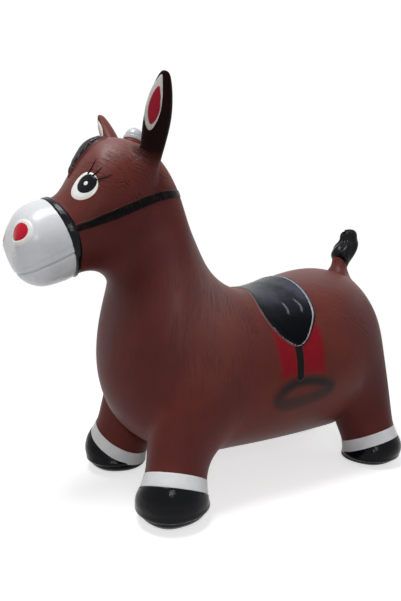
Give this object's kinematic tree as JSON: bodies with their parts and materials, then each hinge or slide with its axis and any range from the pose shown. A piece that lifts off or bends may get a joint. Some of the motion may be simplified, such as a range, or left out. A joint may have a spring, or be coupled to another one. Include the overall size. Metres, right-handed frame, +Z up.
{
  "type": "bouncy ride on animal",
  "caption": "Hollow air-filled vinyl horse that a small child sits astride and bounces on, with a sprayed saddle and harness, long ears as handles and a push-in valve plug.",
  "frame": {"origin": "on the floor, at the centre of the base of the bounding box, between the four hooves", "axes": "+Z up, the nose points along -Y, the animal's left side is towards +X, and X = 0 is the middle plane"},
  "size_m": [0.2754, 0.5647, 0.5201],
  "materials": {
    "brown_vinyl": "satin soft vinyl with fine moulded hair strokes",
    "black_gloss": "gloss",
    "dark_spray": "soft-edged spray",
    "red_gloss": "satin",
    "pale_gloss": "gloss",
    "eye_white_gloss": "gloss",
    "muzzle_white_gloss": "gloss"
  },
  "bodies": {
    "horse": {"body_skin": "brown_vinyl", "cheek_strap_left": "black_gloss", "cheek_strap_right": "black_gloss", "ear_inner_left": "red_gloss", "ear_inner_right": "red_gloss", "ear_lining_left": "pale_gloss", "ear_lining_right": "pale_gloss", "eye_white_left": "eye_white_gloss", "eye_white_right": "eye_white_gloss", "forelock": "black_gloss", "glint_left": "eye_white_gloss", "glint_right": "eye_white_gloss", "hoof_front_left": "black_gloss", "hoof_front_right": "black_gloss", "hoof_hind_left": "black_gloss", "hoof_hind_right": "black_gloss", "iris_left": "black_gloss", "iris_right": "black_gloss", "lower_eyelash_left": "black_gloss", "lower_eyelash_right": "black_gloss", "lower_lip": "muzzle_white_gloss", "middle_eyelash_left": "black_gloss", "middle_eyelash_right": "black_gloss", "muzzle": "muzzle_white_gloss", "noseband": "black_gloss", "nostril_left": "red_gloss", "nostril_right": "red_gloss", "nostril_rim_left": "muzzle_white_gloss", "nostril_rim_right": "muzzle_white_gloss", "pastern_band_front_left": "pale_gloss", "pastern_band_front_right": "pale_gloss", "pastern_band_hind_left": "pale_gloss", "pastern_band_hind_right": "pale_gloss", "saddle": "black_gloss", "saddle_cloth_front_left": "red_gloss", "saddle_cloth_front_right": "red_gloss", "saddle_cloth_rear_left": "red_gloss", "saddle_cloth_rear_right": "red_gloss", "saddle_piping": "pale_gloss", "stirrup_iron_left": "dark_spray", "stirrup_iron_right": "dark_spray", "stirrup_strap_left": "black_gloss", "stirrup_strap_right": "black_gloss", "tail_tuft": "black_gloss", "upper_eyelash_left": "black_gloss", "upper_eyelash_right": "black_gloss"},
    "valve_plug": {"valve_plug": "pale_gloss"}
  },
  "joints": [
    {"name": "valve_plug_slide", "type": "slide", "parent": "horse", "child": "valve_plug", "axis": [0, 0.2487, 0.9686], "range_m": [0, 0.02]}
  ]
}
